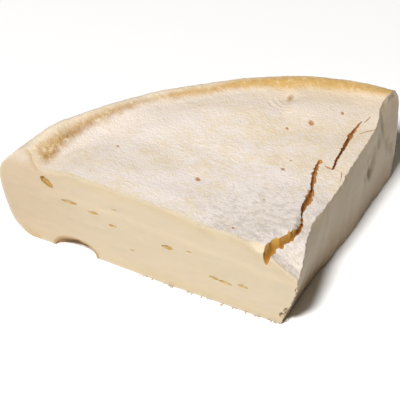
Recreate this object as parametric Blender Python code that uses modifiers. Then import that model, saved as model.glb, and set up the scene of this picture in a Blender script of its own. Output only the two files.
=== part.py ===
"""A wedge of soft washed-rind cheese, cut from a flat round wheel and lying on its base.

The wheel is a turned profile with a raised rim, let sink a little at its middle.
Two knife cuts take the wedge out of it. The crust of the point has cracked away and
sunk, small slit eyes show in the long cut, and its foot bridges a little hollow.
Metres, +Z up, the base on Z = 0 and the origin at the middle of the footprint.
"""

import math

import bmesh
import bpy
from mathutils import Matrix, Vector, noise

MM = 0.001

# Driving dimensions of the wheel
WHEEL_RADIUS = 68.6 * MM
RIM_HEIGHT = 20.9 * MM
PLATE_HEIGHT = 17.1 * MM
SIDE_HEIGHT = 8.0 * MM
WEDGE_ANGLE = 77.0

# The wheel's axis, seen from the middle of the wedge's footprint
AXIS = Vector((0.71 * MM, -32.98 * MM, 0.0))

# How finely the wheel and the knife's path are divided
TURN_STEPS = 216
KNIFE_STEP = 1.7 * MM

# The turned profile, as shares of the wheel's radius and of the rim's height
PLATE_RINGS = 24
PLATE_SHARE = 0.80
FOOT_OF_RIM = ((0.83, 0.845), (0.855, 0.862), (0.878, 0.885), (0.895, 0.912), (0.908, 0.948))
CREST = ((0.921, 0.978), (0.935, 0.995), (0.95, 1.0), (0.964, 0.985), (0.977, 0.945))
SIDE = ((0.989, 0.87), (0.997, 0.77), (1.0, 0.66), (0.997, 0.53), (0.988, 0.36))
TOE = ((0.974, 0.2), (0.957, 0.095), (0.935, 0.03), (0.908, 0.0))
BASE_RINGS = (0.8, 0.6, 0.4, 0.2, 0.07)
CENTRE_SINK = 0.9 * MM

# The rim's inner slope reaches further in at the long cut, over a valley in the plate
RIM_SPREAD = 2.6 * MM
VALLEY_DEPTH = 1.3 * MM
VALLEY_RADIUS = 57.6 * MM
VALLEY_WIDTH = 2.4 * MM
VALLEY_ANGLES = (98.0, 127.0)

# Where the rim has slumped inwards, and how far
SLUMP_ANGLES = (80.0, 94.0, 121.0, 129.0)
SLUMP = 1.1 * MM
SLUMP_HEIGHT = 0.55 * MM

# The plate climbs to the rim at the short cut
CORNER_RISE = 1.7 * MM
CORNER_RADIUS = 57.0 * MM
CORNER_ANGLES = (66.0, 53.0)

# A fold where the plate meets the rim: its foot, its inner end and the step across it
FOLD_FOOT = Vector((18.8 * MM, 57.6 * MM))
FOLD_END = Vector((15.2 * MM, 49.0 * MM))
FOLD_STEP = 0.7 * MM
FOLD_PINCH = 1.2 * MM

# The line along which the crust broke: place, drop across it, and slope beyond it
BREAK_LINE = (
    (-9.0, -2.6, 2.6, 0.36),
    (-4.4, 1.2, 2.5, 0.38),
    (-1.2, 4.7, 2.0, 0.36),
    (4.8, 8.5, 1.2, 0.30),
    (8.3, 15.3, 0.6, 0.20),
    (14.2, 25.6, 0.3, 0.12),
    (19.5, 32.0, 0.2, 0.08),
    (27.0, 39.9, 0.1, 0.05),
    (40.0, 52.0, 0.0, 0.0),
)
BREAK_BLEND = 1.1 * MM

# Cracks in the crust: place, width and depth along each
CRACKS = {
    "crack_at_point": (
        (-6.4, 0.2, 1.5, 3.6),
        (-4.3, 1.6, 1.6, 3.5),
        (-2.4, 3.9, 1.9, 3.2),
        (0.2, 5.9, 1.6, 2.8),
        (2.6, 7.1, 1.3, 2.5),
        (4.8, 8.6, 1.1, 2.3),
        (6.4, 10.2, 0.9, 2.1),
        (7.5, 12.3, 0.7, 1.8),
        (8.3, 15.0, 0.5, 1.6),
        (9.2, 16.9, 0.9, 1.9),
        (11.0, 19.2, 1.1, 2.0),
        (12.8, 22.0, 1.1, 2.0),
        (14.2, 25.7, 0.9, 1.8),
        (16.1, 29.4, 0.9, 1.7),
        (18.0, 32.6, 0.4, 1.0),
    ),
    "crack_by_short_cut": (
        (18.6, 30.4, 0.4, 1.0),
        (19.9, 29.6, 0.7, 1.5),
        (21.5, 32.2, 0.7, 1.7),
        (23.5, 35.6, 0.9, 1.9),
        (25.1, 37.4, 1.1, 1.9),
        (27.0, 39.8, 1.0, 1.8),
        (28.7, 41.6, 0.8, 1.5),
        (30.6, 43.5, 0.4, 0.9),
    ),
}
CRACK_STEP = 0.9 * MM
CRACK_JITTER = 0.22 * MM
CRACK_STAND = 1.6 * MM

# Eyes in the long cut: distance from the axis, height, length, gap, depth and tilt
EYES = (
    (57.4, 14.5, 2.6, 1.7, 2.6, -32.0),
    (52.5, 11.9, 3.6, 1.0, 1.8, 2.0),
    (46.9, 11.1, 2.8, 0.8, 1.4, 2.0),
    (41.8, 9.3, 1.9, 0.8, 1.2, 0.0),
    (28.3, 8.8, 2.7, 0.9, 1.5, 2.0),
    (15.5, 5.25, 6.2, 0.7, 1.3, -2.0),
    (10.0, 6.0, 2.2, 0.6, 1.1, 0.0),
)

# The hollow under the long cut's foot
HOLLOW_AT = 51.1 * MM
HOLLOW_SIZE = Vector((5.1, 9.5, 3.1)) * MM

# The short cut leans out at its top near the point and in at its bottom
POINT_LEAN_TOP = 2.4 * MM
POINT_LEAN_BOTTOM = -1.6 * MM
LEAN_HEIGHT = 12.0 * MM
KNIFE_WAVE = 0.35 * MM

# The long cut's top leans out, and further towards the rim
LONG_LEAN = 0.3 * MM
LONG_LEAN_SLOPE = 0.013
LEDGE_DEPTH = 0.35 * MM

# Bits broken from the point's upright edge: height, reach and radius
CHIPS = ((7.4, 0.9, 1.9), (2.7, 0.2, 1.7))

# Colours from the cheese itself, with roughness
FINISHES = {
    "rind": ((0.80, 0.69, 0.53), 0.85),
    "paste": ((0.80, 0.68, 0.45), 0.45),
    "crust_inside": ((0.52, 0.27, 0.07), 0.6),
}


def finish(name):
    """The Principled BSDF of one of the FINISHES."""
    material = bpy.data.materials.new(name)
    material.use_nodes = True
    shader = material.node_tree.nodes["Principled BSDF"]
    colour, roughness = FINISHES[name]
    shader.inputs["Base Color"].default_value = (*colour, 1.0)
    shader.inputs["Roughness"].default_value = roughness
    shader.inputs["Metallic"].default_value = 0.0
    material.diffuse_color = (*colour, 1.0)
    return material


def smooth(low, high, value):
    """0 at low and 1 at high, easing in and out; low may be the larger."""
    share = min(1.0, max(0.0, (value - low) / (high - low)))
    return share * share * (3.0 - 2.0 * share)


def bump(value, middle, width):
    """A bell of height 1 round middle."""
    return math.exp(-(((value - middle) / width) ** 2))


def waves(point, size, seed):
    """Soft noise from -1 to 1, with features about as large as size."""
    return noise.noise(Vector(point) / size + Vector((seed, 2.7 * seed, 0.0)))


def break_at(x, y):
    """Signed distance beyond the line where the crust broke, with the drop and slope there."""
    nearest = None
    for one, two in zip(BREAK_LINE, BREAK_LINE[1:]):
        start, end = Vector(one[:2]) * MM, Vector(two[:2]) * MM
        run = end - start
        share = min(1.0, max(0.0, (Vector((x, y)) - start).dot(run) / run.length_squared))
        gap = Vector((x, y)) - start - run * share
        if nearest is None or gap.length < nearest[0]:
            side = 1.0 if run.x * gap.y - run.y * gap.x < 0 else -1.0
            drop = (one[2] + (two[2] - one[2]) * share) * MM
            slope = one[3] + (two[3] - one[3]) * share
            nearest = (gap.length, side * gap.length, drop, slope)
    return nearest[1:]


def relief(x, y):
    """What the top stands above or below the turned profile at a place."""
    radius = math.hypot(x, y)
    angle = math.degrees(math.atan2(y, x))
    at_long_cut = smooth(*VALLEY_ANGLES, angle) * smooth(20 * MM, 40 * MM, radius)
    height = -VALLEY_DEPTH * at_long_cut * bump(radius, VALLEY_RADIUS, VALLEY_WIDTH)
    at_short_cut = smooth(*CORNER_ANGLES, angle)
    height += CORNER_RISE * at_short_cut * bump(radius, CORNER_RADIUS, 5.0 * MM)
    along = FOLD_END - FOLD_FOOT
    across = Vector((-along.y, along.x)).normalized()
    place = Vector((x, y)) - FOLD_FOOT
    share = place.dot(along) / along.length_squared
    reach = smooth(1.3, 0.2, share) * smooth(-0.8, -0.2, share)
    beside = place.dot(across)
    height += FOLD_STEP * reach * smooth(-1.2 * MM, 1.2 * MM, beside) * smooth(16 * MM, 4 * MM, beside)
    height -= FOLD_PINCH * bump(place.length, 0.0, 2.2 * MM)
    beyond, drop, slope = break_at(x, y)
    sunk = drop * smooth(-0.5 * BREAK_BLEND, 0.5 * BREAK_BLEND, beyond) + slope * max(0.0, beyond)
    height -= sunk * smooth(62 * MM, 50 * MM, radius)
    height += 0.38 * MM * waves((x, y, 0), 19 * MM, 3.1) + 0.16 * MM * waves((x, y, 0), 5.5 * MM, 8.4)
    return height


def plate_profile(radius):
    """The plate's height in the turned profile: lowest at the wheel's middle."""
    edge = PLATE_SHARE * WHEEL_RADIUS
    share = min(1.0, radius / edge)
    rise = RIM_HEIGHT * FOOT_OF_RIM[0][1] - PLATE_HEIGHT
    return PLATE_HEIGHT - CENTRE_SINK * (1 - share) ** 2 + rise * smooth(0.62, 1.05, share)


def top_height(x, y):
    return plate_profile(math.hypot(x, y)) + relief(x, y)


def turned_profile():
    """The wheel's half section from the middle of its top, down its side, to its base."""
    edge = PLATE_SHARE * WHEEL_RADIUS
    points = []
    for ring in range(PLATE_RINGS + 1):
        radius = edge * (ring / PLATE_RINGS) ** 0.92
        points.append((radius, plate_profile(radius)))
    for radius, height in FOOT_OF_RIM + CREST + SIDE + TOE:
        points.append((radius * WHEEL_RADIUS, height * RIM_HEIGHT))
    points += [(share * WHEEL_RADIUS, 0.0) for share in BASE_RINGS]
    points.append((0.0, 0.0))
    return points


def settled(point):
    """A point of the turned wheel after the cheese has ripened and slumped."""
    x, y, z = point
    radius = math.hypot(x, y)
    if radius < 1e-7:
        return Vector((x, y, z + relief(x, y) if z > SIDE_HEIGHT else z))
    angle = math.degrees(math.atan2(y, x))
    on_top = smooth(SIDE_HEIGHT, 0.8 * PLATE_HEIGHT, z)
    on_rim = smooth(0.82, 0.93, radius / WHEEL_RADIUS)
    height = z + on_top * (1 - on_rim) * relief(x, y)
    height += on_top * on_rim * 0.35 * MM * waves((x, y, z), 8.5 * MM, 5.2)
    slumped = smooth(*SLUMP_ANGLES[:2], angle) * (1 - smooth(*SLUMP_ANGLES[2:], angle)) * on_top
    height -= SLUMP_HEIGHT * slumped * on_rim
    spread = RIM_SPREAD * smooth(*VALLEY_ANGLES, angle) * on_top
    spread *= smooth(0.72, 0.84, radius / WHEEL_RADIUS) * smooth(0.975, 0.915, radius / WHEEL_RADIUS)
    slack = -1.2 * MM * smooth(62.0, 50.0, angle) + 0.5 * MM * waves((x, y, z), 13 * MM, 1.7)
    slack *= smooth(0.78, 0.95, radius / WHEEL_RADIUS) * smooth(0.0, 3 * MM, z)
    new_radius = radius - spread + slack - SLUMP * slumped * on_rim
    return Vector((x * new_radius / radius, y * new_radius / radius, height))


def new_object(name, mesh, collection):
    """An object for a mesh, in a collection."""
    made = bpy.data.objects.new(name, mesh)
    collection.objects.link(made)
    return made


def wheel(collection, materials):
    """The whole wheel: the profile turned about its axis, then settled."""
    outline = bpy.data.meshes.new("profile")
    points = turned_profile()
    outline.from_pydata(
        [(radius, 0.0, height) for radius, height in points],
        [(n, n + 1) for n in range(len(points) - 1)],
        [],
    )
    turned = new_object("profile", outline, collection)
    screw = turned.modifiers.new("turn", "SCREW")
    screw.angle = math.tau
    screw.steps = screw.render_steps = TURN_STEPS
    screw.use_merge_vertices = True
    screw.merge_threshold = 0.00001
    screw.use_normal_calculate = True
    graph = bpy.context.evaluated_depsgraph_get()
    mesh = bpy.data.meshes.new_from_object(turned.evaluated_get(graph))
    bpy.data.objects.remove(turned)
    body = bmesh.new()
    body.from_mesh(mesh)
    bmesh.ops.remove_doubles(body, verts=body.verts, dist=0.00001)
    for vertex in body.verts:
        vertex.co = settled(vertex.co)
    bmesh.ops.recalc_face_normals(body, faces=body.faces)
    body.to_mesh(mesh)
    body.free()
    mesh.materials.clear()
    for material in materials:
        mesh.materials.append(material)
    return new_object("reblochon_wedge", mesh, collection)


def long_cut_offset(along, height):
    """How far the long cut's face stands out from its plane."""
    wave = KNIFE_WAVE * waves((along, height * 0.6, 0), 15 * MM, 6.1)
    wave += (LONG_LEAN + LONG_LEAN_SLOPE * max(0.0, along)) * smooth(1 * MM, 13 * MM, height)
    drag = 0.7 * MM * waves((along, 0, 0), 6.0 * MM, 2.2) * smooth(14.5 * MM, 17.5 * MM, height)
    crease = 13.2 * MM - 0.045 * max(0.0, 56 * MM - along)
    ledge = -LEDGE_DEPTH * smooth(crease - 0.25 * MM, crease + 0.25 * MM, height)
    ledge *= smooth(60 * MM, 52 * MM, along)
    return wave + drag + ledge


def short_cut_offset(along, height):
    """How far the short cut's face stands out: it leans most near the point."""
    near_top = POINT_LEAN_TOP * smooth(16 * MM, -1 * MM, along) + 0.5 * MM
    near_bottom = POINT_LEAN_BOTTOM * smooth(40 * MM, 14 * MM, along)
    lean = near_bottom + (near_top - near_bottom) * smooth(-2 * MM, LEAN_HEIGHT, height)
    wave = KNIFE_WAVE * waves((along * 0.8, height, 4 * MM), 9 * MM, 9.7)
    hollow = bump(math.hypot(along - 51 * MM, 1.4 * (height - 10 * MM)), 0, 3 * MM)
    hollow += 0.6 * bump(math.hypot(along - 58.5 * MM, 0.5 * (height - 14.5 * MM)), 0, 1.6 * MM)
    return lean + wave - 0.7 * MM * hollow


def knife(name, cut_angle, offset, outward, material, collection):
    """The waste beyond one cut: the cut's face as a wavy grid, thickened away from the wedge."""
    long_way, tall_way = 160 * MM, 34 * MM
    body = bmesh.new()
    columns, rows = round(long_way / KNIFE_STEP), round(tall_way / KNIFE_STEP)
    bmesh.ops.create_grid(body, x_segments=columns, y_segments=rows, size=0.5)
    direction = Vector((math.cos(math.radians(cut_angle)), math.sin(math.radians(cut_angle)), 0))
    normal = Vector((-direction.y, direction.x, 0)) * outward
    for vertex in body.verts:
        along = vertex.co.x * long_way
        height = vertex.co.y * tall_way + 11 * MM
        place = direction * along + normal * offset(along, height)
        vertex.co = Vector((place.x, place.y, height))
    swept = bmesh.ops.extrude_face_region(body, geom=body.faces[:])
    moved = [v for v in swept["geom"] if isinstance(v, bmesh.types.BMVert)]
    bmesh.ops.translate(body, vec=normal * long_way, verts=moved)
    return cutter(name, body, material, collection)


def cutter(name, body, material, collection):
    """A closed shape to cut with, which leaves its own material on the cut."""
    bmesh.ops.recalc_face_normals(body, faces=body.faces)
    mesh = bpy.data.meshes.new(name)
    body.to_mesh(mesh)
    body.free()
    mesh.materials.append(material)
    made = new_object(name, mesh, collection)
    made.hide_render = True
    made.display_type = "WIRE"
    return made


def smooth_route(stations):
    """Stations along a Catmull-Rom curve through rows of numbers, CRACK_STEP apart."""
    rows = [Vector(row) for row in stations]
    ends = [rows[0] * 2 - rows[1], *rows, rows[-1] * 2 - rows[-2]]
    found = []
    for before, start, end, after in zip(ends, ends[1:], ends[2:], ends[3:]):
        pieces = max(1, round((end - start).xy.length * MM / CRACK_STEP))
        for piece in range(pieces):
            t = piece / pieces
            found.append(
                0.5 * (2 * start + (end - before) * t + (2 * before - 5 * start + 4 * end - after) * t * t
                       + (3 * start - before - 3 * end + after) * t ** 3)
            )
    return [*found, rows[-1]]


def crack(name, stations, material, collection):
    """A crack's gap: a five-sided section, wide at the crust and narrow below, run along its route."""
    route = smooth_route(stations)
    body = bmesh.new()
    rings = []
    for n, row in enumerate(route):
        x, y, width, depth = (value * MM for value in row)
        heading = (route[min(n + 1, len(route) - 1)] - route[max(n - 1, 0)]).xy.normalized()
        side = Vector((-heading.y, heading.x))
        side_step = CRACK_JITTER * waves((x, y, 0), 1.3 * MM, 4.4)
        place = Vector((x, y)) + side * side_step
        top = max(top_height(*(place + side * s)) for s in (-width, width))
        low = top_height(*place) - depth
        section = (
            (0.62, top + CRACK_STAND),
            (0.5, (top + low) / 2 + 0.25 * depth),
            (0.0, low),
            (-0.5, (top + low) / 2 + 0.25 * depth),
            (-0.62, top + CRACK_STAND),
        )
        ring = []
        for share, height in section:
            spot = place + side * (share * width)
            ring.append(body.verts.new((spot.x, spot.y, height)))
        rings.append(ring)
    for one, two in zip(rings, rings[1:]):
        for n in range(len(one)):
            m = (n + 1) % len(one)
            body.faces.new((one[n], one[m], two[m], two[n]))
    body.faces.new(rings[0])
    body.faces.new(rings[-1])
    return cutter(name, body, material, collection)


def scoop(name, place, size, turn, material, collection, divisions=2):
    """An egg-shaped hollow."""
    body = bmesh.new()
    bmesh.ops.create_icosphere(body, subdivisions=divisions, radius=1.0)
    shape = Matrix.Translation(place) @ turn @ Matrix.Diagonal((*size, 1.0))
    bmesh.ops.transform(body, matrix=shape, verts=body.verts)
    return cutter(name, body, material, collection)


def eyes(cut_angle, paste, collection):
    """The slit eyes that the long cut opens."""
    direction = Vector((math.cos(math.radians(cut_angle)), math.sin(math.radians(cut_angle)), 0))
    normal = Vector((-direction.y, direction.x, 0))
    for n, (along, height, length, gap, depth, tilt) in enumerate(EYES):
        face = direction * along * MM + normal * long_cut_offset(along * MM, height * MM)
        turn = Matrix.Rotation(math.radians(cut_angle), 4, "Z") @ Matrix.Rotation(math.radians(tilt), 4, "Y")
        size = Vector((length / 2, depth, gap / 2)) * MM
        place = Vector((face.x, face.y, height * MM))
        scoop(f"eye_{n + 1}", place, size, turn, paste, collection)


def wedge():
    """The whole piece, with what is cut from it kept as hidden cutters."""
    scene = bpy.context.scene
    cheese = bpy.data.collections.new("Reblochon wedge")
    cutters = bpy.data.collections.new("Cutters")
    scene.collection.children.link(cheese)
    scene.collection.children.link(cutters)
    rind, paste, inside = (finish(name) for name in FINISHES)
    body = wheel(cheese, (rind, paste, inside))
    short_cut, long_cut = 90 - WEDGE_ANGLE / 2, 90 + WEDGE_ANGLE / 2
    knife("long_cut", long_cut, long_cut_offset, 1, paste, cutters)
    knife("short_cut", short_cut, short_cut_offset, -1, paste, cutters)
    for name, stations in CRACKS.items():
        crack(name, stations, inside, cutters)
    eyes(long_cut, paste, cutters)
    outward = Vector((math.cos(math.radians(long_cut)), math.sin(math.radians(long_cut)), 0))
    turn = Matrix.Rotation(math.radians(long_cut), 4, "Z")
    scoop("hollow_under_foot", outward * HOLLOW_AT, HOLLOW_SIZE, turn, rind, cutters, 3)
    for n, (height, reach, radius) in enumerate(CHIPS):
        lean = reach * MM + (POINT_LEAN_TOP * height * MM / LEAN_HEIGHT)
        place = Vector((lean, -1.6 * MM, height * MM))
        scoop(f"chip_{n + 1}", place, Vector((1, 1, 0.9)) * radius * MM, Matrix(), paste, cutters)
    cut = body.modifiers.new("cut", "BOOLEAN")
    cut.operation = "DIFFERENCE"
    cut.operand_type = "COLLECTION"
    cut.collection = cutters
    cut.solver = "EXACT"
    cut.material_mode = "TRANSFER"
    for piece in (body, *cutters.objects):
        piece.location = AXIS
    return body


for old in list(bpy.data.objects):
    bpy.data.objects.remove(old)
wedge()
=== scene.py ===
# A wedge of soft washed-rind cheese on a pale floor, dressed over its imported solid
import math
import bmesh
import bpy
import numpy as np
from mathutils import Matrix, Vector, noise
from mathutils.bvhtree import BVHTree


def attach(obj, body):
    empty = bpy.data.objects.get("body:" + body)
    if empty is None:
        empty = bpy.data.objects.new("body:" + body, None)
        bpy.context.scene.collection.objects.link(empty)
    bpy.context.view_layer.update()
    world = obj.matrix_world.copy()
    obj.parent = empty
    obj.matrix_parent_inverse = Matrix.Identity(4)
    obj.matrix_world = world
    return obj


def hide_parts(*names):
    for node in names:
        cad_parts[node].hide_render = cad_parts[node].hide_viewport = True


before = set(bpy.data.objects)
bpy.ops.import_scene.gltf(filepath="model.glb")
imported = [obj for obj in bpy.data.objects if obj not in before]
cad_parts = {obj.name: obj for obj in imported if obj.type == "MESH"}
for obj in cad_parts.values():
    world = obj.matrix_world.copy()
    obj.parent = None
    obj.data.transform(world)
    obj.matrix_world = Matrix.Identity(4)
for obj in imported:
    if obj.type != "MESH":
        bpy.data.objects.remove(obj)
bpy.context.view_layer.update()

mm = 0.001
scene = bpy.context.scene


class Term:  # one value in a node tree, so that shader sums are written as sums
    def __init__(self, bench, socket):
        self.bench = bench
        self.socket = socket

    def maths(self, operation, *values):
        return self.bench.node("ShaderNodeMath", {"operation": operation}, dict(enumerate(values)))

    def __add__(self, other):
        return self.maths("ADD", self, other)

    def __sub__(self, other):
        return self.maths("SUBTRACT", self, other)

    def __rsub__(self, other):
        return self.maths("SUBTRACT", other, self)

    def __mul__(self, other):
        return self.maths("MULTIPLY", self, other)

    def __truediv__(self, other):
        return self.maths("DIVIDE", self, other)

    def __rtruediv__(self, other):
        return self.maths("DIVIDE", other, self)

    __radd__ = __add__
    __rmul__ = __mul__

    def other(self, output):
        return Term(self.bench, self.socket.node.outputs[output])


class Bench:  # a node tree being built
    def __init__(self, tree):
        self.tree = tree

    def node(self, kind, settings=None, sockets=None, output=0):
        made = self.tree.nodes.new(kind)
        for name, value in (settings or {}).items():
            setattr(made, name, value)
        for name, value in (sockets or {}).items():
            if isinstance(value, Term):
                self.tree.links.new(value.socket, made.inputs[name])
            else:
                made.inputs[name].default_value = value
        return Term(self, made.outputs[output])

    def sine(self, value):
        return self.node("ShaderNodeMath", {"operation": "SINE"}, {0: value})

    def clamp(self, value):
        return self.node("ShaderNodeClamp", {}, {0: value})

    def ease(self, low, high, value):
        sockets = {0: value, 1: low, 2: high, 3: 0.0, 4: 1.0}
        return self.node("ShaderNodeMapRange", {"interpolation_type": "SMOOTHSTEP"}, sockets)

    def speckle(self, place, size, detail=2.0, rough=0.5, seed=0.0):
        sockets = {"Vector": place, "W": seed, "Scale": 1 / size, "Detail": detail, "Roughness": rough}
        return self.node("ShaderNodeTexNoise", {"noise_dimensions": "4D"}, sockets)

    def vector(self, operation, first, second, output=0):
        return self.node("ShaderNodeVectorMath", {"operation": operation}, {0: first, 1: second}, output)

    def dot(self, first, second):
        return self.vector("DOT_PRODUCT", first, second, "Value")

    def distance(self, first, second):
        return self.vector("DISTANCE", first, second, "Value")

    def scaled(self, vector, factor):
        return self.node("ShaderNodeVectorMath", {"operation": "SCALE"}, {0: vector, "Scale": factor})

    def parts(self, vector):
        split = self.node("ShaderNodeSeparateXYZ", {}, {0: vector})
        return split, split.other("Y"), split.other("Z")

    def blend(self, share, first, second):
        first, second = [c if isinstance(c, Term) else (*c, 1) for c in (first, second)]
        return self.node("ShaderNodeMix", {"data_type": "RGBA"}, {0: share, 6: first, 7: second}, 2)


def tone(red, green, blue):  # a colour as it looks on a screen, 0 to 255
    shares = [c / 255 for c in (red, green, blue)]
    return tuple(c / 12.92 if c < 0.0404 else ((c + 0.055) / 1.055) ** 2.4 for c in shares)


def ease(low, high, value):  # 0 at low and 1 at high
    share = min(1.0, max(0.0, (value - low) / (high - low)))
    return share * share * (3 - 2 * share)


def bell(value, middle, width):
    return math.exp(-(((value - middle) / width) ** 2))


def ripple(point, size, seed):  # soft noise from -1 to 1
    return noise.noise(Vector(point) / size + Vector((seed, 2.7 * seed, 0)))


def pieceFrom(name, mesh, *materials):
    made = bpy.data.objects.new(name, mesh)
    scene.collection.objects.link(made)
    for material in materials:
        mesh.materials.append(material)
    return made


def closedMesh(name, points, faces):
    mesh = bpy.data.meshes.new(name)
    mesh.from_pydata(points, [], faces)
    tidy = bmesh.new()
    tidy.from_mesh(mesh)
    bmesh.ops.recalc_face_normals(tidy, faces=tidy.faces)
    tidy.to_mesh(mesh)
    tidy.free()
    return mesh


def throughPoints(rows, step, axes=2):  # a smooth curve through rows of numbers
    rows = [np.array(row, float) for row in rows]
    ends = [2 * rows[0] - rows[1], *rows, 2 * rows[-1] - rows[-2]]
    found = []
    for a, b, c, d in zip(ends, ends[1:], ends[2:], ends[3:]):
        pieces = max(1, round(np.linalg.norm((c - b)[:axes]) / step))
        for t in np.arange(pieces) / pieces:
            found.append(0.5 * (2 * b + (c - a) * t + (2 * a - 5 * b + 4 * c - d) * t ** 2
                                + (3 * b - a - 3 * c + d) * t ** 3))
    return [*found, rows[-1]]


wedgeAngle = 77.0
longAngle = math.radians(90 + wedgeAngle / 2)  # of the long cut, which faces left
shortAngle = math.radians(90 - wedgeAngle / 2)
alongLong = Vector((math.cos(longAngle), math.sin(longAngle), 0))
outOfLong = Vector((-alongLong.y, alongLong.x, 0))

# The wheel that the wedge is cut from
wheel = dict(
    axis=Vector((0.71, -32.98, 0)) * mm,  # from the middle of the footprint
    radius=68.6 * mm,
    height=20.9 * mm,
    plateHeight=17.1 * mm,
    plateShare=0.80,
    plateRise=(0.62, 1.05),
    sideHeight=8 * mm,
    centreSink=0.9 * mm,
    footOfRim=((0.83, 0.845), (0.865, 0.858), (0.888, 0.88), (0.902, 0.905), (0.914, 0.936)),
    crest=((0.925, 0.966), (0.938, 0.99), (0.952, 1.0), (0.965, 0.985), (0.977, 0.945)),
    side=((0.989, 0.87), (0.997, 0.77), (1.0, 0.66), (0.997, 0.53), (0.988, 0.36)),
    toe=((0.974, 0.2), (0.957, 0.095), (0.935, 0.03), (0.908, 0.0)),
    baseRings=(60.5, 57, 50, 40, 30, 20, 10, 4),  # in mm
    sector=(44.0, 136.0),  # where the columns are dense
    columns=(288, 96),  # in the sector, and in the rest
    halvings=(35 * mm, 17 * mm, 8 * mm),  # inside each of these radii half the columns end
    firstRing=0.7 * mm,
    ringStep=0.38 * mm,
)
# How it has slumped: the plate against the rim, and the rim's own unevenness
slump = dict(
    valleyDepth=1.15 * mm,
    valleyRadius=60.0 * mm,
    valleyWidth=1.9 * mm,
    valleyAngles=(104.0, 127.0),
    valleyStart=(20 * mm, 40 * mm),
    ramp=1.2 * mm,
    rampReach=(46 * mm, 60 * mm),
    rampEnd=(65.3 * mm, 60 * mm),
    rampAngles=(114.0, 98.0),
    edgeRise=0.7 * mm,
    edgeWidth=12 * mm,
    edgeShift=0.6 * mm,
    edgeStart=(20 * mm, 28 * mm),
    edgeEnd=(57 * mm, 52 * mm),
    facetDepth=1.5 * mm,
    facetWidth=1.9 * mm,
    facetReach=(9.5 * mm, 6 * mm),
    facetSide=(0.4 * mm, -0.6 * mm),
    rimShares=(0.82, 0.93),
    rimRoll=0.35 * mm,
    low=1.1 * mm,
    lowAngles=(80.0, 94.0, 119.0, 127.0),
    sag=0.5 * mm,
    sagAngle=88.0,
    sagWidth=9.0,
    shoulder=1.9 * mm,
    shoulderRadius=66.2 * mm,
    shoulderWidth=2.3 * mm,
    bulge=0.8 * mm,
    bulgeHeights=(19 * mm, 15 * mm),
    endAngles=(119.0, 127.5),
    endLimit=(160.0, 145.0),
    tuck=1.2 * mm,
    tuckAngles=(62.0, 50.0),
    sway=0.5 * mm,
    cornerRise=0.5 * mm,
    cornerRadius=62 * mm,
    cornerWidth=6 * mm,
    cornerAngles=(66.0, 53.0),
    foldFoot=Vector((19.2, 56.2)) * mm,
    foldEnd=Vector((15.6, 47.8)) * mm,
    foldStart=(-0.8, -0.2),  # shares of the way from its foot to its end
    foldFade=(1.3, 0.2),
    foldStep=0.7 * mm,
    foldWidth=1.2 * mm,
    foldBack=(16 * mm, 4 * mm),
    foldPinch=0.8 * mm,
    pinchWidth=1.7 * mm,
    wrinkle=0.13 * mm,
    wrinklePitch=1.15 * mm,
    wrinkleRing=(3.2 * mm, 2 * mm),
    wrinkleSide=(1 * mm, -1.5 * mm),
    waves=((0.38 * mm, 19 * mm, 3.1), (0.16 * mm, 5.5 * mm, 8.4)),  # height, size and seed
)
# Where the crust broke: x, y, the drop across the line, and the slope beyond it
broken = dict(
    line=(
        (-8.0, -4.0, 1.7, 0.50), (-3.9, 0.9, 1.6, 0.50), (-0.8, 5.2, 1.4, 0.46), (4.8, 8.5, 1.0, 0.34),
        (8.3, 15.3, 0.5, 0.20), (14.2, 25.6, 0.3, 0.12), (19.5, 32.0, 0.2, 0.08), (27.0, 39.9, 0.1, 0.05),
        (40.0, 52.0, 0.0, 0.0),
    ),
    blend=1.1 * mm,
    slopeReach=12 * mm,
    fade=(62 * mm, 50 * mm),
)
# Little pits and spots in the rind, longer than wide: x, y, radius
spotSqueeze = 0.65
pits = ((-8.0, 32.7, 0.5), (20.8, 46.6, 0.55), (15.5, 46.4, 0.3), (9.8, 31.6, 0.35), (-20.1, 49.4, 0.3),
        (27.9, 47.5, 0.3), (-6.8, 12.7, 0.28), (12.4, 34.5, 0.22), (2.5, 21.5, 0.2))


def breakAt(x, y):  # signed distance beyond the break, with the drop and the slope there
    nearest = None
    for one, two in zip(broken["line"], broken["line"][1:]):
        start = Vector(one[:2]) * mm
        run = Vector(two[:2]) * mm - start
        share = min(1.0, max(0.0, (Vector((x, y)) - start).dot(run) / run.length_squared))
        gap = Vector((x, y)) - start - run * share
        if nearest is None or gap.length < nearest[0]:
            side = 1 if run.x * gap.y - run.y * gap.x < 0 else -1
            drop = (one[2] + (two[2] - one[2]) * share) * mm
            nearest = (gap.length, side * gap.length, drop, one[3] + (two[3] - one[3]) * share)
    return nearest[1:]


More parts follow.
